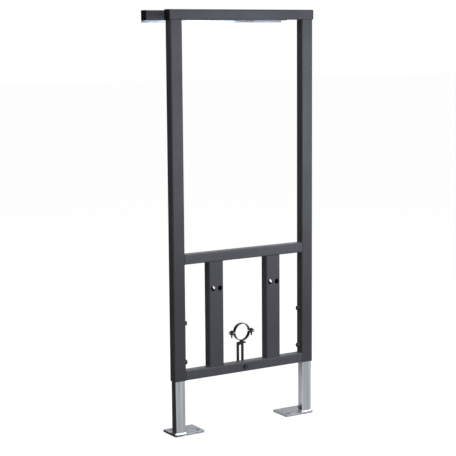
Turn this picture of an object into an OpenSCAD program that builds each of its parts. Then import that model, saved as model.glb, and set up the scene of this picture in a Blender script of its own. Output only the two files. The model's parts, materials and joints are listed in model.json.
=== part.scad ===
// Floor and wall installation frame for a wall-hung bidet.
// Welded square-tube frame, telescoping zinc-plated feet, adjustable waste pipe clamp, rear wall rail.
// Origin: floor level, middle of the overall width and depth. +X right, +Y towards the wall, +Z up.

/* [Main frame] */
// Width across the outer sides of the two uprights
frame_w = 500; // [420:5:640]
// Height of the welded frame, from the underside of the uprights to the top of the top bar
frame_h = 1095; // [900:5:1300]
// Width of an upright, seen from the front
upright_w = 40; // [34:1:60]
// Depth of the front tubes, front to back
tube_d = 30; // [26:1:40]
// Height of the top bar and of both cross rails
rail_h = 30; // [24:1:40]
// Wall thickness of the painted tubes
tube_wall = 2; // [1.5:0.1:3]
// Outer corner radius of the painted tubes
tube_r = 4; // [2.5:0.1:4.4]
// Height of the middle rail's underside above the underside of the frame
mid_rail_z = 350; // [300:1:450]

/* [Bidet fixing posts] */
// Width of a fixing post
post_w = 50; // [46:1:70]
// Distance between the inner pair of bidet fixing holes
inner_hole_gap = 180; // [170:1:190]
// Distance between the outer pair of bidet fixing holes
outer_hole_gap = 230; // [222:1:240]
// Diameter of a bidet fixing hole
fix_hole_d = 16; // [12:0.5:18]
// Height of the fixing holes above the underside of the frame
fix_hole_z = 269; // [200:1:285]

/* [Feet] */
// Height of the frame's underside above the floor as shown
foot_show = 168; // [60:1:200]
// Play between a foot tube and the inside of its upright, on each side
foot_play = 1; // [0.4:0.1:1.4]
// Wall thickness of a foot tube
foot_wall = 2.5; // [2:0.1:4]
// Outer corner radius of a foot tube
foot_r = 2.5; // [1:0.1:3]
// Length of foot tube that stays inside the upright as shown
foot_inside = 238; // [200:1:300]
// Length of a foot plate along the wall
plate_w = 103; // [80:1:140]
// Depth of a foot plate
plate_d = 76; // [66:1:120]
// Thickness of a foot plate
plate_t = 7; // [5:0.5:10]
// Corner radius of a foot plate
plate_r = 4; // [1:0.5:8]
// Diameter of a floor anchor hole
anchor_d = 11; // [8:0.5:14]
// Distance of an anchor hole's centre from the plate's edges
anchor_edge = 16; // [12:0.5:18]
// How far a plate stands out past its tube at the front and on the outer side
plate_margin = 4.5; // [4:0.5:5]
// Size of the weld bead around the foot of the tube
weld_r = 4; // [2:0.5:4]

/* [Foot clamping screws] */
// Height of the lower clamping screws above the underside of the frame
screw_low_z = 54; // [44:1:80]
// Height of the upper clamping screws above the underside of the frame
screw_high_z = 172; // [130:1:190]
// Thread diameter of the clamping screws
screw_d = 8; // [6:1:10]
// Width across flats of the screw heads and nuts
hex_af = 13; // [11:1:17]
// Height of a hexagon head
head_h = 5.3; // [4:0.1:7]
// Thickness of a welded nut
nut_h = 4; // [3:0.1:8]
// Play between a screw's shank and the hole that it passes through
screw_play = 0.25; // [0.1:0.05:0.5]
// Gap between a screw's tip and the tube it clamps as shown
tip_gap = 0.3; // [0.2:0.1:0.6]

/* [Waste pipe clamp] */
// Outer diameter of the waste pipe that the clamp holds
pipe_d = 50; // [40:1:60]
// Play between the pipe and the open clamp band, all round
pipe_play = 0.2; // [0.1:0.1:1]
// Thickness of the clamp band
band_t = 2.3; // [1.5:0.1:4]
// Width of the clamp band along the pipe
band_w = 12; // [10:0.5:20]
// Height of the pipe's centre above the underside of the frame
pipe_z = 120; // [110:1:150]
// Length of a clamp ear beyond the band
ear_l = 16; // [13:0.5:20]
// Gap between the two clamp halves
band_gap = 3; // [1:0.5:5]
// Thread diameter of the clamp's closing screws
ear_screw_d = 5; // [4:0.5:6]
// Free length of a closing screw below the lower ear
ear_screw_tail = 12; // [6:1:18]
// Width of the slotted height strap
strap_w = 24; // [22:1:34]
// Thickness of the slotted height strap
strap_t = 4; // [3:0.5:5]
// Inner radius where an ear leaves the band
ear_bend_r = 2; // [0.5:0.5:4]
// Play between the slot and the strap screw
slot_play = 0.5; // [0.3:0.1:1]
// Distance from the back of the bottom rail to the middle of the clamp band
band_fore = 7; // [7:0.5:12]
// Inner radius of the strap's bend
bend_r = 2; // [1:0.5:4]
// Thread diameter of the screw that holds the clamp on the strap
seat_screw_d = 6; // [5:1:8]

/* [Wall rail] */
// Distance from the front of the frame to the front of the wall rail
reach = 140; // [110:1:240]
// Depth and height of the wall rail's tube
wall_tube = 30; // [24:1:40]
// Thickness of the zinc-plated wall strip
strip_t = 3; // [2:0.5:5]
// Height of the wall strip
strip_h = 35; // [30:1:50]
// How far the wall strip reaches below the wall rail's tube
strip_drop = 6; // [3:0.5:12]
// Distance between the wall fixing holes
wall_hole_gap = 360; // [300:5:400]
// Diameter of a wall fixing hole
wall_hole_d = 11; // [8:0.5:13]
// Distance between the middles of the two arms
arm_gap = 300; // [240:5:340]
// Outer width and height of an arm's painted sleeve
sleeve_s = 30; // [26:1:30]
// Length of an arm's painted sleeve
sleeve_l = 75; // [50:1:90]
// Length of the zinc-plated arm tube that stays inside its sleeve
arm_inside = 55; // [40:1:70]

/* [End caps] */
// How far an end cap stands out from its tube
cap_t = 2.5; // [1.5:0.1:5]
// Length of an end cap's plug inside the tube
cap_plug = 14; // [8:1:20]
// Play between a cap's plug and its tube
cap_play = 0.1; // [0.05:0.05:0.2]

/* [Hidden] */

$fn = 48;
paint = "#3b3d46";
zinc = "#9aa0a6";
black = "#141416";

// Heights
frame_z = foot_show;
top_z = frame_z + frame_h;
upright_h = frame_h - rail_h;
mid_z = frame_z + mid_rail_z;
low_top_z = frame_z + rail_h;
post_h = mid_rail_z - rail_h;

// Depths: the wall strip is the back of the part and the strap screw's head is its front
screw_out = head_h;
depth = reach + wall_tube + strip_t;
front_y = -(depth - screw_out) / 2;
mid_y = front_y + tube_d / 2;
wall_y = front_y + reach + wall_tube / 2;
wall_z = top_z - wall_tube / 2;

// Feet
upright_x = frame_w / 2 - upright_w / 2;
foot_w = upright_w - 2 * (tube_wall + foot_play);
foot_d = tube_d - 2 * (tube_wall + foot_play);
foot_l = foot_show - plate_t + foot_inside;
plate_out_x = upright_x + foot_w / 2 + plate_margin;
plate_front_y = mid_y - foot_d / 2 - plate_margin;
plate_x = plate_out_x - plate_w / 2;
plate_y = plate_front_y + plate_d / 2;

// Posts
post_x = (inner_hole_gap + outer_hole_gap) / 4;

// Waste pipe clamp
band_ri = pipe_d / 2 + pipe_play;
band_ro = band_ri + band_t;
pipe_cz = frame_z + pipe_z;
ear_t = band_t;
ear_x = band_ro + ear_l / 2;
fuse_step = 0.05;
slot_w = screw_d + 2 * slot_play;
seat_nut_h = nut_h;
strap_y = front_y + tube_d;
band_y = strap_y - band_fore;
tab_z = pipe_cz - band_ro - seat_nut_h;
tab_reach = strap_t + band_fore + hex_af / 2;
strap_bottom_z = frame_z + tube_wall;
strap_screw_z = frame_z + rail_h / 2;
slot_top_z = tab_z - strap_t - bend_r - slot_w;
seat_screw_z = tab_z - strap_t;

// Arms
arm_s = sleeve_s - 2 * (tube_wall + foot_play);
arm_free = reach - tube_d - sleeve_l;
arm_l = arm_free + arm_inside;
arm_x = arm_gap / 2;
arm_z = top_z - rail_h / 2;

module rounded_rect(w, d, r) {
    square([w - 2 * r, d], center = true);
    square([w, d - 2 * r], center = true);
    for (sx = [-1, 1], sy = [-1, 1])
        translate([sx * (w / 2 - r), sy * (d / 2 - r)]) circle(r = r);
}

module tube_section(w, d, wall, r) {
    difference() {
        rounded_rect(w, d, r);
        rounded_rect(w - 2 * wall, d - 2 * wall, max(r - wall, 0.3));
    }
}

// Tube standing up from z = 0
module tube_up(l, w, d, wall, r) {
    linear_extrude(height = l) tube_section(w, d, wall, r);
}

// Tube lying along X, centred on the origin
module tube_along_x(l, d, h, wall, r) {
    rotate([90, 0, 90]) linear_extrude(height = l, center = true) tube_section(d, h, wall, r);
}

// Tube lying along Y, from y = 0 towards the wall
module tube_along_y(l, w, h, wall, r) {
    rotate([-90, 0, 0]) linear_extrude(height = l) tube_section(w, h, wall, r);
}

// Round hole along Y through everything between y = 0 and y = l
module hole_y(d, l) {
    rotate([-90, 0, 0]) translate([0, 0, -1]) cylinder(d = d, h = l + 2);
}

module hexagon(af, h) {
    cylinder(d = af / cos(30), h = h, $fn = 6);
}

// Hexagon screw along +Z: head below z = 0, shank above it
module hex_screw(d, l, af, h) {
    translate([0, 0, -h]) hexagon(af, h);
    translate([0, 0, -0.01]) cylinder(d = d, h = l + 0.01);
}

module hex_nut(d, af, h) {
    difference() {
        hexagon(af, h);
        translate([0, 0, -1]) cylinder(d = d, h = h + 2);
    }
}

// Turns a piece that is drawn along +Z to point along side * X
module towards_x(side) {
    rotate([0, side * 90, 0]) children();
}

module upright(side) {
    color(paint)
    difference() {
        translate([side * upright_x, mid_y, frame_z])
            tube_up(upright_h, upright_w, tube_d, tube_wall, tube_r);
        for (z = [screw_low_z, screw_high_z])
            translate([side * (upright_x - upright_w / 2), mid_y, frame_z + z])
                towards_x(side) translate([0, 0, -1])
                    cylinder(d = screw_d + 2 * screw_play, h = tube_wall + 2);
    }
}

module left_upright() { upright(-1); }
module right_upright() { upright(1); }

module top_bar() {
    color(paint)
    translate([0, mid_y, top_z - rail_h / 2])
        tube_along_x(frame_w, tube_d, rail_h, tube_wall, tube_r);
}

module middle_rail() {
    color(paint)
    translate([0, mid_y, mid_z + rail_h / 2])
        tube_along_x(frame_w - 2 * upright_w, tube_d, rail_h, tube_wall, tube_r);
}

module bottom_rail() {
    color(paint)
    difference() {
        translate([0, mid_y, frame_z + rail_h / 2])
            tube_along_x(frame_w - 2 * upright_w, tube_d, rail_h, tube_wall, tube_r);
        translate([0, front_y, strap_screw_z]) hole_y(screw_d + 2 * screw_play, tube_d);
    }
}

// End cap on a tube along X: a flat lid with a hollow plug behind it
module end_cap(side, x, y, z, d, h) {
    plug_d = d - 2 * (tube_wall + cap_play);
    plug_h = h - 2 * (tube_wall + cap_play);
    color(black)
    translate([side * x, y, z]) rotate([90, 0, 90]) {
        translate([0, 0, side > 0 ? 0 : -cap_t])
            linear_extrude(height = cap_t) rounded_rect(d, h, tube_r);
        translate([0, 0, side > 0 ? -cap_plug : 0])
            linear_extrude(height = cap_plug)
                tube_section(plug_d, plug_h, tube_wall, tube_r - tube_wall);
    }
}

module top_bar_left_cap() { end_cap(-1, frame_w / 2, mid_y, top_z - rail_h / 2, tube_d, rail_h); }
module top_bar_right_cap() { end_cap(1, frame_w / 2, mid_y, top_z - rail_h / 2, tube_d, rail_h); }
module wall_rail_left_cap() { end_cap(-1, frame_w / 2, wall_y, wall_z, wall_tube, wall_tube); }
module wall_rail_right_cap() { end_cap(1, frame_w / 2, wall_y, wall_z, wall_tube, wall_tube); }

// Fixing post between the two cross rails, drilled right through for the bidet's studs
module post(side) {
    color(paint)
    difference() {
        translate([side * post_x, mid_y, low_top_z])
            tube_up(post_h, post_w, tube_d, tube_wall, tube_r);
        for (s = [inner_hole_gap, outer_hole_gap])
            translate([side * s / 2, front_y, frame_z + fix_hole_z]) hole_y(fix_hole_d, tube_d);
    }
}

module left_post() { post(-1); }
module right_post() { post(1); }

// Arm from the top bar to the wall rail: painted sleeve, sliding tube and clamping screw
module sleeve(side) {
    color(paint)
    difference() {
        translate([side * arm_x, front_y + tube_d, arm_z])
            tube_along_y(sleeve_l, sleeve_s, sleeve_s, tube_wall, tube_r);
        translate([side * (arm_x - sleeve_s / 2), front_y + tube_d + sleeve_l - arm_inside / 2, arm_z])
            towards_x(side) translate([0, 0, -1])
                cylinder(d = screw_d + 2 * screw_play, h = tube_wall + 2);
    }
}

module arm(side) {
    color(zinc)
    translate([side * arm_x, front_y + reach - arm_l, arm_z])
        tube_along_y(arm_l, arm_s, arm_s, foot_wall, foot_r);
}

module arm_nut(side) {
    color(black)
    translate([side * (arm_x - sleeve_s / 2), front_y + tube_d + sleeve_l - arm_inside / 2, arm_z])
        towards_x(-side) hex_nut(screw_d, hex_af, nut_h);
}

module arm_screw(side) {
    color(black)
    translate([side * (arm_x - sleeve_s / 2 - nut_h),
               front_y + tube_d + sleeve_l - arm_inside / 2, arm_z])
        towards_x(side) hex_screw(screw_d, nut_h + tube_wall + foot_play - tip_gap, hex_af, head_h);
}

module left_sleeve() { sleeve(-1); }
module right_sleeve() { sleeve(1); }
module left_arm() { arm(-1); }
module right_arm() { arm(1); }
module left_arm_nut() { arm_nut(-1); }
module right_arm_nut() { arm_nut(1); }
module left_arm_screw() { arm_screw(-1); }
module right_arm_screw() { arm_screw(1); }

module wall_rail() {
    color(paint)
    difference() {
        translate([0, wall_y, wall_z])
            tube_along_x(frame_w, wall_tube, wall_tube, tube_wall, tube_r);
        for (s = [-1, 1])
            translate([s * wall_hole_gap / 2, wall_y - wall_tube / 2, wall_z]) hole_y(wall_hole_d, wall_tube);
    }
}

module wall_strip() {
    strip_z = wall_z - wall_tube / 2 - strip_drop;
    color(zinc)
    difference() {
        translate([-frame_w / 2, wall_y + wall_tube / 2, strip_z]) cube([frame_w, strip_t, strip_h]);
        for (s = [-1, 1])
            translate([s * wall_hole_gap / 2, wall_y + wall_tube / 2, wall_z]) hole_y(wall_hole_d, strip_t);
    }
}

// Screws that clamp a foot tube inside its upright, with the nuts welded to the upright
module screw_nuts(side) {
    color(paint)
    for (z = [screw_low_z, screw_high_z])
        translate([side * (upright_x - upright_w / 2), mid_y, frame_z + z])
            towards_x(-side) hex_nut(screw_d, hex_af, nut_h);
}

module foot_screw(side, z) {
    color(black)
    translate([side * (upright_x - upright_w / 2 - nut_h), mid_y, frame_z + z])
        towards_x(side) hex_screw(screw_d, nut_h + tube_wall + foot_play - tip_gap, hex_af, head_h);
}

module left_screw_nuts() { screw_nuts(-1); }
module right_screw_nuts() { screw_nuts(1); }
module left_upper_screw() { foot_screw(-1, screw_high_z); }
module left_lower_screw() { foot_screw(-1, screw_low_z); }
module right_upper_screw() { foot_screw(1, screw_high_z); }
module right_lower_screw() { foot_screw(1, screw_low_z); }

// Side outline of the strap in y and z, measured from the outer corner of its bend
module strap_outline() {
    corner_r = bend_r + strap_t;
    translate([-strap_t, strap_bottom_z - tab_z]) square([strap_t, tab_z - strap_bottom_z - corner_r]);
    translate([-tab_reach, -strap_t]) square([tab_reach - corner_r, strap_t]);
    translate([-corner_r, -corner_r]) intersection() {
        difference() {
            circle(r = corner_r);
            circle(r = bend_r);
        }
        square(corner_r);
    }
}

// Slotted strap behind the bottom rail that carries the pipe clamp: its top is bent forwards
module clamp_strap() {
    color(black)
    difference() {
        translate([-strap_w / 2, strap_y + strap_t, tab_z]) rotate([90, 0, 90])
            linear_extrude(height = strap_w) strap_outline();
        translate([-slot_w / 2, strap_y - 1, strap_screw_z])
            cube([slot_w, strap_t + 2, slot_top_z - strap_screw_z]);
        for (z = [strap_screw_z, slot_top_z])
            translate([0, strap_y, z]) hole_y(slot_w, strap_t);
        translate([0, band_y, seat_screw_z - 1])
            cylinder(d = seat_screw_d + 2 * screw_play, h = strap_t + 2);
    }
}

module strap_screw() {
    color(black)
    translate([0, front_y, strap_screw_z]) rotate([-90, 0, 0])
        hex_screw(screw_d, tube_d + strap_t + nut_h + 2, hex_af, head_h);
}

module strap_nut() {
    color(black)
    translate([0, strap_y + strap_t, strap_screw_z]) rotate([-90, 0, 0]) hex_nut(screw_d, hex_af, nut_h);
}

// Nut welded under the band, and the screw that holds it on the strap
module clamp_seat_nut() {
    color(black)
    difference() {
        translate([0, band_y, tab_z]) hexagon(hex_af, seat_nut_h + band_t);
        translate([0, band_y, tab_z - 1]) cylinder(d = seat_screw_d, h = seat_nut_h + band_t + 2);
        translate([0, band_y - band_w, pipe_cz]) rotate([-90, 0, 0]) cylinder(r = band_ro, h = 2 * band_w);
    }
}

module clamp_seat_screw() {
    color(black)
    translate([0, band_y, seat_screw_z])
        hex_screw(seat_screw_d, strap_t + seat_nut_h - tip_gap, seat_screw_d * 1.6, seat_screw_d * 0.7);
}

// Concave fillet between the band's outside and the top of an ear, on the +X side
module ear_fillet() {
    centre_r = ear_bend_r + fuse_step;
    line_z = band_gap / 2 + ear_t;
    cz = line_z + centre_r;
    cx = sqrt(pow(band_ro + centre_r, 2) - pow(cz, 2));
    k = band_ro / (band_ro + centre_r);
    inside_x = band_ro - band_t / 2;
    inside_z = line_z - ear_t / 2;
    difference() {
        polygon([[k * cx, k * cz], [cx, line_z], [cx, inside_z], [inside_x, inside_z], [k * cx - band_t / 2, k * cz]]);
        translate([cx, cz]) circle(r = ear_bend_r);
    }
}

// One half of the clamp, drawn as the upper half about the pipe's axis: half a band with two ears
module clamp_half() {
    ear_end = band_ro + ear_l;
    difference() {
        union() {
            rotate([90, 0, 0]) cylinder(r = band_ro, h = band_w, center = true, $fn = 96);
            translate([-ear_end, -band_w / 2, band_gap / 2]) cube([2 * ear_end, band_w, ear_t]);
            for (turn = [0, 180])
                rotate([0, 0, turn]) rotate([90, 0, 0])
                    linear_extrude(height = band_w, center = true) ear_fillet();
        }
        rotate([90, 0, 0]) cylinder(r = band_ri, h = band_w + 2, center = true, $fn = 96);
        translate([-ear_end - 1, -band_w / 2 - 1, band_gap / 2 - 2 * band_ro])
            cube([2 * ear_end + 2, band_w + 2, 2 * band_ro]);
        for (s = [-1, 1])
            translate([s * ear_x, 0, 0]) cylinder(d = ear_screw_d + 2 * screw_play, h = band_ro);
    }
}

module clamp_upper_half() {
    color(black) translate([0, band_y, pipe_cz]) clamp_half();
}

module clamp_lower_half() {
    color(black) translate([0, band_y, pipe_cz]) mirror([0, 0, 1]) clamp_half();
}

module ear_screw(side) {
    color(black)
    translate([side * ear_x, band_y, pipe_cz + band_gap / 2 + ear_t]) mirror([0, 0, 1])
        hex_screw(ear_screw_d, 2 * ear_t + band_gap + ear_screw_tail, ear_screw_d * 1.6, ear_screw_d * 0.7);
}

module clamp_left_screw() { ear_screw(-1); }
module clamp_right_screw() { ear_screw(1); }

module foot_tube(side) {
    color(zinc)
    translate([side * upright_x, mid_y, plate_t]) tube_up(foot_l, foot_w, foot_d, foot_wall, foot_r);
}

// Floor plate with two anchor holes on the diagonal that the tube leaves free
module foot_plate(side) {
    color(zinc)
    translate([side * plate_x, plate_y, 0])
    difference() {
        linear_extrude(height = plate_t) rounded_rect(plate_w, plate_d, plate_r);
        for (s = [-1, 1])
            translate([-side * s * (plate_w / 2 - anchor_edge), -s * (plate_d / 2 - anchor_edge), -1])
                cylinder(d = anchor_d, h = plate_t + 2);
    }
}

// Fillet weld all round the foot of the tube
module foot_weld(side) {
    corner_x = foot_w / 2 - foot_r;
    corner_y = foot_d / 2 - foot_r;
    color(zinc)
    translate([side * upright_x, mid_y, plate_t]) {
        for (sx = [-1, 1], sy = [-1, 1])
            translate([sx * corner_x, sy * corner_y, 0])
                rotate([0, 0, sx > 0 ? (sy > 0 ? 0 : 270) : (sy > 0 ? 90 : 180)])
                    rotate_extrude(angle = 90) translate([foot_r, 0]) weld_section();
        for (turn = [0, 180]) {
            rotate([0, 0, turn]) translate([foot_w / 2, corner_y, 0]) rotate([90, 0, 0])
                linear_extrude(height = 2 * corner_y) weld_section();
            rotate([0, 0, turn + 90]) translate([foot_d / 2, corner_x, 0]) rotate([90, 0, 0])
                linear_extrude(height = 2 * corner_x) weld_section();
        }
    }
}

// Cross-section of the weld: a quarter round in the corner of tube and plate
module weld_section() {
    intersection() {
        circle(r = weld_r);
        square(weld_r);
    }
}

module left_foot_tube() { foot_tube(-1); }
module left_foot_plate() { foot_plate(-1); }
module left_foot_weld() { foot_weld(-1); }
module right_foot_tube() { foot_tube(1); }
module right_foot_plate() { foot_plate(1); }
module right_foot_weld() { foot_weld(1); }

left_upright();
right_upright();
top_bar();
middle_rail();
bottom_rail();
top_bar_left_cap();
top_bar_right_cap();
left_post();
right_post();
left_sleeve();
right_sleeve();
left_arm();
right_arm();
left_arm_screw();
right_arm_screw();
left_arm_nut();
right_arm_nut();
wall_rail();
wall_rail_left_cap();
wall_rail_right_cap();
wall_strip();
left_screw_nuts();
right_screw_nuts();
left_upper_screw();
left_lower_screw();
right_upper_screw();
right_lower_screw();
clamp_strap();
strap_screw();
strap_nut();
clamp_seat_nut();
clamp_seat_screw();
clamp_lower_half();
clamp_upper_half();
clamp_left_screw();
clamp_right_screw();
left_foot_tube();
left_foot_plate();
left_foot_weld();
right_foot_tube();
right_foot_plate();
right_foot_weld();
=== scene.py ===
import json
import math
import random

import bmesh
import bpy
from mathutils import Matrix, Vector


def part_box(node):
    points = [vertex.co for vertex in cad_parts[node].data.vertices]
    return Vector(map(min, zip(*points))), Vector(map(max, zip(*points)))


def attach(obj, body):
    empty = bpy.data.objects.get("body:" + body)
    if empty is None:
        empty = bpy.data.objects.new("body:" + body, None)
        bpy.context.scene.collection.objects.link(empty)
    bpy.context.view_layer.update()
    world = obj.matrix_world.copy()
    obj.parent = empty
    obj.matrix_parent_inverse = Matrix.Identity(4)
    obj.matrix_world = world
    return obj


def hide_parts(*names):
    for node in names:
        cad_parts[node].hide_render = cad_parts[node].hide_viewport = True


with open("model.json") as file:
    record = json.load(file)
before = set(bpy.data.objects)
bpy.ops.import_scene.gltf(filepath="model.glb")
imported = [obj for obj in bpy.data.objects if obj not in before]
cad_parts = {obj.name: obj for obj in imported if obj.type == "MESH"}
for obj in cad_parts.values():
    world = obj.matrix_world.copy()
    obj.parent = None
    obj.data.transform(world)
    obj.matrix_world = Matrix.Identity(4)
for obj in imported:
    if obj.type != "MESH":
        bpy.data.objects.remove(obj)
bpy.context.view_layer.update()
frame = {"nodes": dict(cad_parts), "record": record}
nodes = frame["nodes"]
random.seed(7)
MM = 0.001


# ---- materials ----

class Shader:
    """A node material around one Principled shader. Texture coordinates are object space, in metres."""

    def __init__(self, name, **fixed):
        self.mat = bpy.data.materials.new(name)
        self.mat.use_nodes = True
        self.tree = self.mat.node_tree
        self.bsdf = self.tree.nodes["Principled BSDF"]
        for key, value in fixed.items():
            self.bsdf.inputs[key.replace("_", " ")].default_value = value
        self.coords = self.add("ShaderNodeTexCoord").outputs["Object"]
        self.height = None

    def add(self, kind, **settings):
        node = self.tree.nodes.new(kind)
        for key, value in settings.items():
            setattr(node, key, value)
        return node

    def link(self, a, b):
        self.tree.links.new(a, b)

    def scaled(self, scale):
        node = self.add("ShaderNodeMapping")
        node.inputs["Scale"].default_value = scale
        self.link(self.coords, node.inputs["Vector"])
        return node.outputs["Vector"]

    def noise(self, scale, detail=2.0, rough=0.5, vector=None):
        node = self.add("ShaderNodeTexNoise")
        node.inputs["Scale"].default_value = scale
        node.inputs["Detail"].default_value = detail
        node.inputs["Roughness"].default_value = rough
        self.link(vector or self.coords, node.inputs["Vector"])
        return node.outputs["Fac"]

    def cells(self, scale, vector=None):
        node = self.add("ShaderNodeTexVoronoi")
        node.inputs["Scale"].default_value = scale
        self.link(vector or self.coords, node.inputs["Vector"])
        return node.outputs["Color"]

    def spread(self, value, low, high, to_low=0.0, to_high=1.0):
        node = self.add("ShaderNodeMapRange")
        for key, x in (("From Min", low), ("From Max", high), ("To Min", to_low), ("To Max", to_high)):
            node.inputs[key].default_value = x
        self.link(value, node.inputs["Value"])
        return node.outputs["Result"]

    def math(self, operation, a, b):
        node = self.add("ShaderNodeMath", operation=operation)
        for i, x in enumerate((a, b)):
            if isinstance(x, (int, float)):
                node.inputs[i].default_value = x
            else:
                self.link(x, node.inputs[i])
        return node.outputs[0]

    def mix(self, amount, a, b):
        node = self.add("ShaderNodeMix", data_type="RGBA")
        self.link(amount, node.inputs[0])
        for i, x in ((6, a), (7, b)):
            if isinstance(x, tuple):
                node.inputs[i].default_value = (*x, 1.0)
            else:
                self.link(x, node.inputs[i])
        return node.outputs[2]

    def facing_up(self):
        """1 on faces that look up, 0 on the others."""
        geometry = self.add("ShaderNodeNewGeometry")
        split = self.add("ShaderNodeSeparateXYZ")
        self.link(geometry.outputs["Normal"], split.inputs[0])
        return self.spread(split.outputs["Z"], 0.5, 1.0)

    def colour(self, socket):
        self.link(socket, self.bsdf.inputs["Base Color"])

    def roughness(self, socket):
        self.link(socket, self.bsdf.inputs["Roughness"])

    def bump(self, value, distance, strength=1.0):
        node = self.add("ShaderNodeBump")
        node.inputs["Distance"].default_value = distance
        node.inputs["Strength"].default_value = strength
        self.link(value, node.inputs["Height"])
        if self.height:
            self.link(self.height, node.inputs["Normal"])
        self.height = node.outputs["Normal"]
        self.link(self.height, self.bsdf.inputs["Normal"])


def painted_steel(name="powder_coat_anthracite", tone=1.0):
    """Powder coat on drawn tube: flecked and slightly orange-peeled, with dust and a painted lighter tone where it
    looks up, which stands in for light from above.
    """
    s = Shader(name, Metallic=0.0, IOR=1.4, Specular_IOR_Level=0.3)
    clouds = s.spread(s.noise(5.0, 3.0), 0.3, 0.7)
    fleck = s.spread(s.noise(1600.0, 1.0), 0.62, 0.75, 0.0, 0.35)
    # A tone above 1 paints a lighter copy of this one coat, which is a painted highlight for members that catch more
    # light.
    low, high = [tuple(tone * x for x in c) for c in ((0.0195, 0.0195, 0.0225), (0.0245, 0.0245, 0.028))]
    base = s.mix(clouds, low, high)
    base = s.mix(fleck, base, (0.055, 0.055, 0.062))
    # Painted light: faces that look up are mixed towards a lighter grey, partly dust and partly a painted highlight of
    # the light from above.
    dust_and_top_light = s.math("MULTIPLY", s.facing_up(), s.spread(s.noise(60.0, 4.0, 0.6), 0.35, 0.75, 0.10, 0.40))
    s.colour(s.mix(dust_and_top_light, base, (0.13, 0.13, 0.135)))
    s.roughness(s.spread(s.noise(9.0, 4.0), 0.3, 0.7, 0.36, 0.46))
    s.bump(s.noise(420.0, 2.0, 0.6), 0.00012, 0.6)
    s.bump(s.noise(2200.0, 1.0), 0.00003, 0.5)
    return s.mat


def zinc_tube():
    s = Shader("zinc_plated_tube", Metallic=1.0)
    lines = s.noise(1.0, 3.0, 0.6, s.scaled((900.0, 900.0, 5.0)))
    broad = s.noise(1.0, 2.0, 0.5, s.scaled((110.0, 110.0, 2.5)))
    tone = s.math("ADD", s.math("MULTIPLY", lines, 0.45), s.math("MULTIPLY", broad, 0.55))
    s.colour(s.mix(s.spread(tone, 0.36, 0.64), (0.24, 0.25, 0.265), (0.44, 0.455, 0.485)))
    s.roughness(s.spread(lines, 0.3, 0.7, 0.20, 0.32))
    s.bump(lines, 0.00002, 0.5)
    return s.mat


def zinc_flat(name="zinc_plated_flat", dark=(0.19, 0.203, 0.22), light=(0.36, 0.385, 0.415), rough=(0.32, 0.5)):
    s = Shader(name, Metallic=1.0)
    spangle = s.add("ShaderNodeRGBToBW")
    s.link(s.cells(190.0), spangle.inputs[0])
    stain = s.noise(28.0, 5.0, 0.65)
    tone = s.math("ADD", s.math("MULTIPLY", spangle.outputs[0], 0.35), s.math("MULTIPLY", stain, 0.65))
    s.colour(s.mix(s.spread(tone, 0.3, 0.7), dark, light))
    s.roughness(s.spread(stain, 0.3, 0.7, *rough))
    s.bump(s.noise(500.0, 3.0, 0.6), 0.00008, 0.6)
    return s.mat


def weld_metal():
    s = Shader("weld_bright", Metallic=1.0)
    stain = s.noise(260.0, 4.0, 0.6)
    s.colour(s.mix(s.spread(stain, 0.35, 0.65), (0.60, 0.62, 0.65), (0.86, 0.88, 0.90)))
    s.roughness(s.spread(stain, 0.3, 0.7, 0.20, 0.36))
    s.bump(s.noise(900.0, 3.0, 0.6), 0.00012, 0.7)
    return s.mat


def moulded_plastic():
    s = Shader("moulded_plastic_black", Metallic=0.0, IOR=1.45, Specular_IOR_Level=0.15)
    s.colour(s.mix(s.spread(s.noise(40.0, 3.0), 0.3, 0.7), (0.002, 0.0022, 0.0024), (0.005, 0.0052, 0.0055)))
    s.roughness(s.spread(s.noise(25.0, 3.0), 0.3, 0.7, 0.42, 0.56))
    s.bump(s.noise(1500.0, 2.0, 0.6), 0.00006, 0.7)
    return s.mat


def black_steel():
    s = Shader("black_coated_steel", Metallic=0.0, IOR=1.45, Specular_IOR_Level=0.35)
    worn = s.spread(s.noise(150.0, 5.0, 0.7), 0.60, 0.72, 0.0, 0.5)
    s.colour(s.mix(worn, (0.006, 0.0062, 0.007), (0.028, 0.028, 0.030)))
    s.roughness(s.spread(s.noise(70.0, 3.0), 0.3, 0.7, 0.30, 0.48))
    s.bump(s.noise(700.0, 2.0, 0.6), 0.00008, 0.6)
    return s.mat


def blackened_screw():
    s = Shader("blackened_screw", Metallic=0.55)
    worn = s.spread(s.noise(300.0, 5.0, 0.7), 0.55, 0.75, 0.0, 0.6)
    s.colour(s.mix(worn, (0.011, 0.011, 0.0125), (0.05, 0.05, 0.052)))
    s.roughness(s.spread(s.noise(200.0, 3.0), 0.3, 0.7, 0.28, 0.45))
    s.bump(s.noise(1200.0, 2.0, 0.6), 0.00005, 0.6)
    return s.mat


LOOKS = {
    "painted_frame": painted_steel(),
    "end_caps": moulded_plastic(),
    "zinc_rail": zinc_flat("zinc_plated_rail", (0.25, 0.275, 0.32), (0.40, 0.44, 0.50), (0.24, 0.38)),
    "black_clamp": black_steel(),
    "black_screws": blackened_screw(),
    "zinc_tube": zinc_tube(),
    "zinc_plate": zinc_flat(),
    "weld_bead": weld_metal(),
}
slot_of = {row["node"]: row["material_slot"] for row in frame["record"]["subparts"]}
# Painted light: the rails and posts get lighter copies of the one powder coat, with base colour times 1.5 and 1.25,
# standing in for the brighter light they catch.
member_looks_painted_lighter = {"rail": painted_steel("powder_coat_rails_painted_lighter", 1.5), "post": painted_steel("powder_coat_posts_painted_lighter", 1.25)}
MEMBERS = {"middle_rail": "rail", "bottom_rail": "rail", "left_post": "post", "right_post": "post"}
for node_name, node in nodes.items():
    node.data.materials.clear()
    look = member_looks_painted_lighter[MEMBERS[node_name]] if node_name in MEMBERS else LOOKS[slot_of[node_name]]
    node.data.materials.append(look)


# ---- pieces ----

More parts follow.
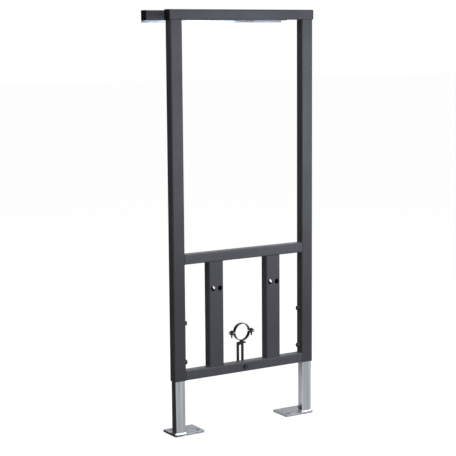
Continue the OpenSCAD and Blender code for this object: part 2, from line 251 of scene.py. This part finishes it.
def piece(name, bm, body, slot, replaces=(), smooth=35.0):
    """Turns a bmesh into an object of the part."""
    bmesh.ops.recalc_face_normals(bm, faces=bm.faces[:])
    mesh = bpy.data.meshes.new(name)
    bm.to_mesh(mesh)
    bm.free()
    obj = bpy.data.objects.new(name, mesh)
    bpy.context.scene.collection.objects.link(obj)
    mesh.materials.append(LOOKS[slot])
    mesh.shade_smooth()
    mesh.set_sharp_from_angle(angle=math.radians(smooth))
    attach(obj, body)
    if replaces:
        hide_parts(*replaces)
    return obj


def rings_to_faces(bm, rings, close_u=True, caps=True):
    """Skins a row of rings that have the same number of points."""
    made = [[bm.verts.new(p) for p in ring] for ring in rings]
    n = len(made[0])
    for a, b in zip(made, made[1:]):
        for i in range(n if close_u else n - 1):
            bm.faces.new((a[i], a[(i + 1) % n], b[(i + 1) % n], b[i]))
    if caps:
        bm.faces.new(made[0][::-1])
        bm.faces.new(made[-1])
    return made


def ripple(s, across, pitch):
    """Height of a weld's crescent ripples, 0 to 1, s metres along it and from 0 to 1 across it."""
    phase = (s / pitch + 0.45 * (1 - (2 * across - 1) ** 2)) % 1.0
    return math.sqrt(max(0.0, 1 - (2 * phase - 1) ** 2))


def bead_ring(point, a, b, r, s, pitch, sink, size=1.0, steps=7):
    """Cross-section of a fillet weld in the corner between the faces along a and b."""
    ring = [point - a * sink - b * sink]
    for i in range(steps + 1):
        turn = math.pi / 2 * i / steps
        c, n = math.cos(turn), math.sin(turn)
        rho = r * size * (0.45 + 0.45 / (c + n)) * (0.92 + 0.10 * ripple(s, i / steps, pitch))
        if i == 0:
            ring.append(point + a * rho - b * sink)
        elif i == steps:
            ring.append(point + b * rho - a * sink)
        else:
            ring.append(point + a * (rho * c) + b * (rho * n))
    return ring


def straight_bead(bm, start, end, a, b, r=2.8 * MM, pitch=3.1 * MM, sink=0.5 * MM):
    start, end, a, b = Vector(start), Vector(end), Vector(a), Vector(b)
    length = (end - start).length
    steps = max(8, int(length / (pitch / 6)))
    rings = []
    for i in range(steps + 1):
        s = length * i / steps
        taper = math.sqrt(min(1.0, (min(s, length - s) + 0.3 * MM) / (2.2 * MM)))
        rings.append(bead_ring(start.lerp(end, i / steps), a, b, r, s, pitch, sink, taper))
    rings_to_faces(bm, rings)


def groove_bead(bm, start, end, across, out, width=3.4 * MM, depth=1.1 * MM, pitch=2.8 * MM):
    """Weld that fills the groove beside a rounded tube corner and stays under the front face."""
    start, end, across, out = Vector(start), Vector(end), Vector(across), Vector(out)
    length = (end - start).length
    steps = max(8, int(length / (pitch / 6)))
    rings = []
    for i in range(steps + 1):
        s = length * i / steps
        p = start.lerp(end, i / steps)
        ring = [p - out * (depth + 2.2 * MM)]
        for k in range(6):
            t = k / 5
            bulge = (0.55 * math.sin(math.pi * t) + 0.18 * ripple(s, t, pitch)) * MM
            ring.append(p + across * (width * t) - out * (depth - bulge))
        rings.append(ring)
    rings_to_faces(bm, rings)


def loop_path(half_w, half_d, r, step=0.5 * MM):
    """Points and outward normals round a rounded rectangle, in x and y."""
    path = []
    corners = [(1, -1, -90), (1, 1, 0), (-1, 1, 90), (-1, -1, 180)]
    for i, (sx, sy, start) in enumerate(corners):
        cx, cy = sx * (half_w - r), sy * (half_d - r)
        turns = max(4, int(math.pi / 2 * r / step))
        for k in range(turns + 1):
            a = math.radians(start + 90.0 * k / turns)
            n = Vector((math.cos(a), math.sin(a), 0))
            path.append((Vector((cx, cy, 0)) + n * r, n))
        nx, ny, _ = corners[(i + 1) % 4]
        end = path[-1][0]
        n = path[-1][1]
        first = Vector((nx * (half_w - r), ny * (half_d - r), 0)) + n * r
        gap = (first - end).length
        count = int(gap / step)
        for k in range(1, count):
            path.append((end.lerp(first, k / count), n))
    return path


def loop_bead(bm, place, half_w, half_d, r_tube, r, pitch, sink=0.4 * MM, wobble=0.0):
    """Weld all round a tube that stands on a plate. place turns the tube's own x, y, z into the frame's."""
    path = loop_path(half_w, half_d, r_tube)
    up = (place.to_3x3() @ Vector((0, 0, 1))).normalized()
    total = sum((path[i][0] - path[i - 1][0]).length for i in range(len(path)))
    turns = max(1, round(total / pitch))
    pitch = total / turns
    s, rings, last = 0.0, [], path[-1][0]
    for p, n in path:
        s += (p - last).length
        last = p
        size = 1.0 + wobble * math.sin(2 * math.pi * 5 * s / total) * math.cos(2 * math.pi * 3 * s / total + 1)
        rings.append(bead_ring(place @ p, (place.to_3x3() @ n).normalized(), up, r, s, pitch, sink, size))
    rings.append(rings[0])
    made = [[bm.verts.new(q) for q in ring] for ring in rings[:-1]]
    count = len(made[0])
    for i, ring in enumerate(made):
        other = made[(i + 1) % len(made)]
        for k in range(count):
            bm.faces.new((ring[k], ring[(k + 1) % count], other[(k + 1) % count], other[k]))


def hex_radius(af, turn):
    return af / 2 / math.cos((turn + math.pi / 6) % (math.pi / 3) - math.pi / 6)


def hex_ring(af, z, scale=1.0, steps=60, limit=None):
    ring = []
    for i in range(steps):
        turn = 2 * math.pi * i / steps
        r = hex_radius(af, turn) * scale
        if limit:
            r = min(r, limit)
        ring.append(Vector((r * math.cos(turn), r * math.sin(turn), z)))
    return ring


def chamfered(af, z0, z1, way, steps=60):
    """Rings from a hexagon's side to the flat of its chamfered end. way is 1 if that end is up."""
    flat = af / 2 * 0.96
    side, mid = [], []
    for i in range(steps):
        turn = 2 * math.pi * i / steps
        r = hex_radius(af, turn)
        c, n = math.cos(turn), math.sin(turn)
        drop = (r - flat) * math.tan(math.radians(30))
        side.append(Vector((r * c, r * n, z1 - way * drop)))
        mid.append(Vector((flat * c, flat * n, z1)))
    return side, mid


def circle(r, z, steps=60):
    return [Vector((r * math.cos(2 * math.pi * i / steps), r * math.sin(2 * math.pi * i / steps), z))
            for i in range(steps)]


def thread(d, z0, z1, pitch, steps=60):
    """Rings of a shank with a cut thread from z0 to z1, with a chamfered tip at z1."""
    depth = 0.6 * pitch
    rings = []
    count = max(4, int(abs(z1 - z0) / (pitch / 6)))
    for k in range(count + 1):
        z = z0 + (z1 - z0) * k / count
        tip = min(1.0, abs(z1 - z) / (0.9 * pitch))
        ring = []
        for i in range(steps):
            turn = 2 * math.pi * i / steps
            wave = abs(((z / pitch - i / steps) % 1.0) * 2 - 1)
            r = d / 2 - depth * wave * min(1.0, abs(z - z0) / pitch + 0.1) - (1 - tip) * 0.12 * d
            ring.append(Vector((r * math.cos(turn), r * math.sin(turn), z)))
        rings.append(ring)
    return rings


def bolt(bm, place, af, head_h, d, length, plain, pitch, slot=False):
    """Hexagon screw: head under z = 0, shank above it, threaded past its plain length."""
    flat = af / 2 * 0.96
    side, end_ring = chamfered(af, 0, -head_h, -1)
    dish = circle(flat * 0.82, -head_h)
    cup = circle(flat * 0.74, -head_h + 0.06 * head_h)
    under = hex_ring(af, -0.08 * head_h)
    rings = [cup, dish, end_ring, side, under, circle(flat, -0.08 * head_h), circle(flat, 0), circle(d / 2, 0)]
    if length > plain + pitch:
        rings += [circle(d / 2, plain)] + thread(d, plain, length, pitch)
    else:
        rings += [circle(d / 2, length - 0.1 * d), circle(d * 0.42, length)]
    rings_to_faces(bm, [[place @ p for p in ring] for ring in rings])


def nut(bm, place, af, h, d):
    """Hexagon nut from z = 0 to z = h, chamfered on both ends, round a threaded hole."""
    low_side, low_flat = chamfered(af, h, 0, -1)
    top_side, top_flat = chamfered(af, 0, h, 1)
    rings = [circle(d / 2, 0.06 * h), circle(d / 2 * 1.08, 0), low_flat, low_side, top_side, top_flat,
             circle(d / 2 * 1.08, h), circle(d / 2, 0.94 * h)]
    rings.append(rings[0])
    made = [[bm.verts.new(place @ p) for p in ring] for ring in rings[:-1]]
    n = len(made[0])
    for i, ring in enumerate(made):
        other = made[(i + 1) % len(made)]
        for k in range(n):
            bm.faces.new((ring[k], ring[(k + 1) % n], other[(k + 1) % n], other[k]))


def eased_copy(name, node_name, width, body="frame", segments=2):
    """A copy of a CAD node with its sharp edges eased, shown in the node's place."""
    bm = bmesh.new()
    bm.from_mesh(nodes[node_name].data)
    bmesh.ops.remove_doubles(bm, verts=bm.verts[:], dist=1e-6)
    bmesh.ops.dissolve_limit(bm, angle_limit=math.radians(1), verts=bm.verts[:], edges=bm.edges[:])
    sharp = [e for e in bm.edges if len(e.link_faces) == 2 and e.calc_face_angle(0) > math.radians(35)]
    bmesh.ops.bevel(bm, geom=sharp, offset=width, offset_type="OFFSET", segments=segments, profile=0.5,
                    affect="EDGES", clamp_overlap=True)
    return piece(name, bm, body, slot_of[node_name], [node_name], smooth=30.0)


def centre_and_size(node_name):
    lo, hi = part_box(node_name)
    return (lo + hi) / 2, hi - lo


def towards(axis, at):
    """Matrix that takes +Z to the axis, at a place."""
    return Matrix.Translation(at) @ Vector((0, 0, 1)).rotation_difference(Vector(axis)).to_matrix().to_4x4()


# Places that the CAD gives
bar_lo, bar_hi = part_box("top_bar")
front_y, back_y = bar_lo.y, bar_hi.y
mid_lo, mid_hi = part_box("middle_rail")
low_lo, low_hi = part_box("bottom_rail")
X, Y, Z = Vector((1, 0, 0)), Vector((0, 1, 0)), Vector((0, 0, 1))
INSET = 3.5 * MM

# Welds between the rails and the uprights
for name, lo, hi in (("middle_rail_welds", mid_lo, mid_hi), ("bottom_rail_welds", low_lo, low_hi)):
    bm = bmesh.new()
    for side in (-1, 1):
        x = hi.x if side > 0 else lo.x
        inward = X * -side
        for z, up in ((hi.z, Z), (lo.z, -Z)):
            if name == "bottom_rail_welds" and up == -Z:
                continue
            straight_bead(bm, (x, front_y + INSET, z), (x, back_y - INSET, z), inward, up)
        straight_bead(bm, (x, back_y - 1.2 * MM, lo.z + INSET), (x, back_y - 1.2 * MM, hi.z - INSET), inward, Y, 2.2 * MM)
        groove_bead(bm, (x - side * 0.2 * MM, front_y, lo.z + 2 * MM), (x - side * 0.2 * MM, front_y, hi.z - 2 * MM),
                    X * side, -Y)
    piece(name, bm, "frame", "painted_frame")

# Welds between the top bar and the uprights
bm = bmesh.new()
for side, upright in ((-1, "left_upright"), (1, "right_upright")):
    lo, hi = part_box(upright)
    inner = hi.x if side < 0 else lo.x
    straight_bead(bm, (inner, front_y + INSET, hi.z), (inner, back_y - INSET, hi.z), X * -side, -Z)
    x0, x1 = lo.x + INSET, hi.x - INSET
    groove_bead(bm, (x0, front_y, hi.z - 0.2 * MM), (x1, front_y, hi.z - 0.2 * MM), Z, -Y, depth=1.6 * MM)
    groove_bead(bm, (x0, back_y, hi.z - 0.2 * MM), (x1, back_y, hi.z - 0.2 * MM), Z, Y)
piece("top_bar_welds", bm, "frame", "painted_frame")

# Welds between the fixing posts and the rails
bm = bmesh.new()
for post in ("left_post", "right_post"):
    lo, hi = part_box(post)
    for z, up in ((hi.z, -Z), (lo.z, Z)):
        for x, out in ((lo.x, -X), (hi.x, X)):
            straight_bead(bm, (x, front_y + INSET, z), (x, back_y - INSET, z), out, up, 2.6 * MM)
        for y, out in ((front_y, -Y), (back_y, Y)):
            groove_bead(bm, (lo.x + INSET, y, z + up.z * 0.2 * MM), (hi.x - INSET, y, z + up.z * 0.2 * MM), -up, out,
                        depth=1.4 * MM)
piece("post_welds", bm, "frame", "painted_frame")

# Welds of the arms: sleeve to top bar, arm tube to wall rail
for side, name in ((-1, "left"), (1, "right")):
    lo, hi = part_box(name + "_sleeve")
    bm = bmesh.new()
    for x, out in ((lo.x, -X), (hi.x, X)):
        straight_bead(bm, (x, lo.y, lo.z + INSET), (x, lo.y, hi.z - INSET), out, Y, 2.6 * MM)
    for z, out in ((hi.z, Z), (lo.z, -Z)):
        groove_bead(bm, (lo.x + INSET, lo.y + 0.2 * MM, z), (hi.x - INSET, lo.y + 0.2 * MM, z), -Y, out)
    piece(name + "_sleeve_welds", bm, "frame", "painted_frame")
    lo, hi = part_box(name + "_arm")
    middle, size = (lo + hi) / 2, hi - lo
    bm = bmesh.new()
    place = towards((0, -1, 0), (middle.x, hi.y, middle.z))
    loop_bead(bm, place, size.x / 2, size.z / 2, 2.5 * MM, 2.6 * MM, 3.0 * MM)
    piece(name + "_arm_welds", bm, "frame", "painted_frame")

# Tack welds that hold the zinc-plated strip on the wall rail
strip_lo, strip_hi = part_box("wall_strip")
rail_lo, rail_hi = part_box("wall_rail")
bm = bmesh.new()
for x in (-0.22, -0.11, 0.0, 0.11, 0.22):
    straight_bead(bm, (x - 0.011, strip_lo.y, rail_lo.z + 1.5 * MM), (x + 0.011, strip_lo.y, rail_lo.z + 1.5 * MM),
                  -Y, -Z, 2.6 * MM)
piece("wall_strip_tacks", bm, "frame", "weld_bead")

# Screws and nuts that clamp the feet, and those of the arms
AF, HEAD = 13 * MM, 5.3 * MM
for side, name in ((-1, "left"), (1, "right")):
    lo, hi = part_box(name + "_upright")
    inner = hi.x if side < 0 else lo.x
    bm_nuts, bm_tack = bmesh.new(), bmesh.new()
    nut_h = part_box(name + "_screw_nuts")[1].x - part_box(name + "_screw_nuts")[0].x
    for height in ("upper", "lower"):
        node_name = "%s_%s_screw" % (name, height)
        middle, size = centre_and_size(node_name)
        place = towards((side, 0, 0), (inner - side * nut_h, middle.y, middle.z))
        bm = bmesh.new()
        bolt(bm, place, AF, HEAD, 8 * MM, size.x - HEAD, size.x, 1.25 * MM)
        piece(node_name + "_detail", bm, "frame", "black_screws", [node_name])
        at = towards((-side, 0, 0), (inner, middle.y, middle.z))
        nut(bm_nuts, at, AF, nut_h, 8 * MM)
        loop_bead(bm_tack, at, AF / 2, AF / 2, AF / 2 - 0.2 * MM, 1.5 * MM, 2.0 * MM, 0.8 * MM)
    piece(name + "_welded_nuts", bm_nuts, "frame", "painted_frame", [name + "_screw_nuts"])
    piece(name + "_nut_welds", bm_tack, "frame", "painted_frame")
    middle, size = centre_and_size(name + "_arm_nut")
    outer_face = middle.x + side * size.x / 2
    bm = bmesh.new()
    nut(bm, towards((-side, 0, 0), (outer_face, middle.y, middle.z)), AF, size.x, 8 * MM)
    piece(name + "_arm_nut_detail", bm, "frame", "black_screws", [name + "_arm_nut"])
    bm = bmesh.new()
    long = centre_and_size(name + "_arm_screw")[1].x
    bolt(bm, towards((side, 0, 0), (outer_face - side * size.x, middle.y, middle.z)), AF, HEAD, 8 * MM,
         long - HEAD, long, 1.25 * MM)
    piece(name + "_arm_screw_detail", bm, "frame", "black_screws", [name + "_arm_screw"])

# Pipe clamp: strap, band, nuts and screws
strap_middle, strap_size = centre_and_size("strap_screw")
bm = bmesh.new()
bolt(bm, towards((0, 1, 0), (strap_middle.x, front_y, strap_middle.z)), AF, HEAD, 8 * MM, strap_size.y - HEAD,
     back_y - front_y + 2 * MM, 1.25 * MM)
piece("strap_screw_detail", bm, "frame", "black_screws", ["strap_screw"])
lo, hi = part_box("strap_nut")
bm = bmesh.new()
nut(bm, towards((0, 1, 0), (strap_middle.x, lo.y, strap_middle.z)), AF, hi.y - lo.y, 8 * MM)
piece("strap_nut_detail", bm, "frame", "black_screws", ["strap_nut"])
eased_copy("slotted_strap", "clamp_strap", 0.5 * MM)
eased_copy("clamp_band_lower", "clamp_lower_half", 0.35 * MM)
eased_copy("clamp_band_upper", "clamp_upper_half", 0.35 * MM)
EAR_D, EAR_AF, EAR_HEAD = 5 * MM, 8 * MM, 3.5 * MM
for name in ("left", "right"):
    node_name = "clamp_%s_screw" % name
    lo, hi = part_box(node_name)
    top = hi.z - EAR_HEAD
    middle = (lo + hi) / 2
    bm = bmesh.new()
    bolt(bm, towards((0, 0, -1), (middle.x, middle.y, top)), EAR_AF, EAR_HEAD, EAR_D, top - lo.z, 3.5 * MM, 0.8 * MM)
    piece(node_name + "_detail", bm, "frame", "black_screws", [node_name])
    ear_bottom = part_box("clamp_lower_half")[1].z - 2.3 * MM
    bm = bmesh.new()
    nut(bm, towards((0, 0, -1), (middle.x, middle.y, ear_bottom)), EAR_AF, 3.6 * MM, EAR_D)
    piece("clamp_%s_nut" % name, bm, "frame", "black_screws")
lo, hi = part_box("clamp_seat_screw")
middle = (lo + hi) / 2
bm = bmesh.new()
bolt(bm, towards((0, 0, 1), (middle.x, middle.y, lo.z + 4.2 * MM)), 9.6 * MM, 4.2 * MM, 6 * MM,
     hi.z - lo.z - 4.2 * MM, hi.z - lo.z, 1.0 * MM)
piece("clamp_seat_screw_detail", bm, "frame", "black_screws", ["clamp_seat_screw"])

# End caps, wall strip and foot plates with eased edges
for node_name in ("top_bar_left_cap", "top_bar_right_cap", "wall_rail_left_cap", "wall_rail_right_cap"):
    eased_copy(node_name + "_moulding", node_name, 0.7 * MM)
eased_copy("wall_strip_rolled", "wall_strip", 0.4 * MM)
for name in ("left", "right"):
    body = name + "_foot"
    eased_copy(name + "_plate_pressed", name + "_foot_plate", 0.7 * MM, body)
    lo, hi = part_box(name + "_foot_tube")
    middle, size = (lo + hi) / 2, hi - lo
    bm = bmesh.new()
    loop_bead(bm, Matrix.Translation((middle.x, middle.y, lo.z)), size.x / 2, size.y / 2, 2.5 * MM, 3.95 * MM, 3.3 * MM,
              wobble=0.05)
    piece(name + "_foot_bead", bm, body, "weld_bead", [name + "_foot_weld"], smooth=50.0)


# ---- stage, light and camera ----

def seen_white(material, strength, plain):
    """Mix factor that is strength on camera, glossy and transmission rays and 0 on all other rays, so that white shows
    to the camera, to metal and through glass. plain is not used.
    """
    tree = material.node_tree
    rays = tree.nodes.new("ShaderNodeLightPath")
    total = tree.nodes.new("ShaderNodeMath")
    total.operation = "MAXIMUM"
    tree.links.new(rays.outputs["Is Camera Ray"], total.inputs[0])
    tree.links.new(rays.outputs["Is Glossy Ray"], total.inputs[1])
    more = tree.nodes.new("ShaderNodeMath")
    more.operation = "MAXIMUM"
    tree.links.new(total.outputs[0], more.inputs[0])
    tree.links.new(rays.outputs["Is Transmission Ray"], more.inputs[1])
    share = tree.nodes.new("ShaderNodeMath")
    share.operation = "MULTIPLY"
    share.inputs[1].default_value = strength
    tree.links.new(more.outputs[0], share.inputs[0])
    return share.outputs[0]


floor_mesh = bpy.data.meshes.new("floor")
FLOOR = 30.0
floor_mesh.from_pydata([(-FLOOR, -FLOOR, 0), (FLOOR, -FLOOR, 0), (FLOOR, FLOOR, 0), (-FLOOR, FLOOR, 0)], [],
                       [(0, 1, 2, 3)])
floor = bpy.data.objects.new("floor", floor_mesh)
bpy.context.scene.collection.objects.link(floor)
floor_mat = bpy.data.materials.new("pale_floor")
floor_mat.use_nodes = True
tree = floor_mat.node_tree
floor_bsdf = tree.nodes["Principled BSDF"]
floor_bsdf.inputs["Base Color"].default_value = (0.8, 0.8, 0.8, 1)
floor_bsdf.inputs["Roughness"].default_value = 0.9
glow = tree.nodes.new("ShaderNodeEmission")
glow.inputs["Color"].default_value = (1, 1, 1, 1)
glow.inputs["Strength"].default_value = 1.04
blend = tree.nodes.new("ShaderNodeMixShader")
tree.links.new(seen_white(floor_mat, 0.85, None), blend.inputs[0])
tree.links.new(floor_bsdf.outputs[0], blend.inputs[1])
tree.links.new(glow.outputs[0], blend.inputs[2])
tree.links.new(blend.outputs[0], tree.nodes["Material Output"].inputs[0])
floor_mesh.materials.append(floor_mat)

world = bpy.data.worlds.new("studio")
bpy.context.scene.world = world
world.use_nodes = True
tree = world.node_tree
background = tree.nodes["Background"]
white = tree.nodes.new("ShaderNodeBackground")
white.inputs["Color"].default_value = (1, 1, 1, 1)
blend = tree.nodes.new("ShaderNodeMixShader")
background.inputs["Color"].default_value = (1, 1, 1, 1)
background.inputs["Strength"].default_value = 0.8
tree.links.new(seen_white(world, 1.0, None), blend.inputs[0])
tree.links.new(background.outputs[0], blend.inputs[1])
tree.links.new(white.outputs[0], blend.inputs[2])
tree.links.new(blend.outputs[0], tree.nodes["World Output"].inputs[0])


def softbox(name, at, target, size, energy):
    light = bpy.data.lights.new(name, "AREA")
    light.shape = "RECTANGLE"
    light.size, light.size_y = size
    light.energy = energy
    obj = bpy.data.objects.new(name, light)
    bpy.context.scene.collection.objects.link(obj)
    obj.location = at
    obj.rotation_mode = "QUATERNION"
    obj.rotation_quaternion = (Vector(target) - Vector(at)).to_track_quat("-Z", "Y")
    obj.visible_camera = False
    return obj


def dark_card(name, corners):
    """Black card that only reflections see, as photographers stand beside bright metal."""
    mesh = bpy.data.meshes.new(name)
    mesh.from_pydata(corners, [], [(0, 1, 2, 3)])
    card = bpy.data.objects.new(name, mesh)
    bpy.context.scene.collection.objects.link(card)
    card_mat = bpy.data.materials.new(name)
    card_mat.use_nodes = True
    bsdf = card_mat.node_tree.nodes["Principled BSDF"]
    bsdf.inputs["Base Color"].default_value = (0.02, 0.02, 0.022, 1)
    bsdf.inputs["Roughness"].default_value = 0.9
    mesh.materials.append(card_mat)
    card.visible_camera = card.visible_diffuse = card.visible_shadow = False


dark_card("card_standing", [(-1.8, 0.1, 0), (0.0, 1.1, 0), (0.0, 1.1, 1.7), (-1.8, 0.1, 1.7)])
dark_card("card_lying", [(-1.8, -0.5, 0.001), (-0.27, -0.5, 0.001), (-0.1, 1.0, 0.001), (-1.8, 1.0, 0.001)])
key = softbox("key", (0.75, -1.25, 0.88), (0, 0, 0.85), (0.7, 0.9), 18)
key.data.color = (0.80, 0.87, 1.0)
softbox("top", (-0.3, -0.6, 3.2), (0, 0, 0.4), (2.0, 2.0), 80)

camera_data = bpy.data.cameras.new("camera")
camera = bpy.data.objects.new("camera", camera_data)
bpy.context.scene.collection.objects.link(camera)
camera_data.sensor_width = 36.0
camera_data.lens = 1360.12 / 456 * 36.0
camera_data.clip_end = 100.0
yaw, pitch, roll = math.radians(31.972), math.radians(-7.937), math.radians(-0.4425)
look = Vector((math.sin(yaw) * math.cos(pitch), math.cos(yaw) * math.cos(pitch), math.sin(pitch)))
right = Vector((math.cos(yaw), -math.sin(yaw), 0))
up = right.cross(look)
right, up = (math.cos(roll) * right + math.sin(roll) * up, -math.sin(roll) * right + math.cos(roll) * up)
camera.matrix_world = Matrix.Translation((-2.19614, -3.42163 + front_y, 1.01046 + low_lo.z)) @ Matrix(
    (right, up, -look)).transposed().to_4x4()
bpy.context.scene.camera = camera
bpy.context.scene.view_settings.view_transform = "Standard"
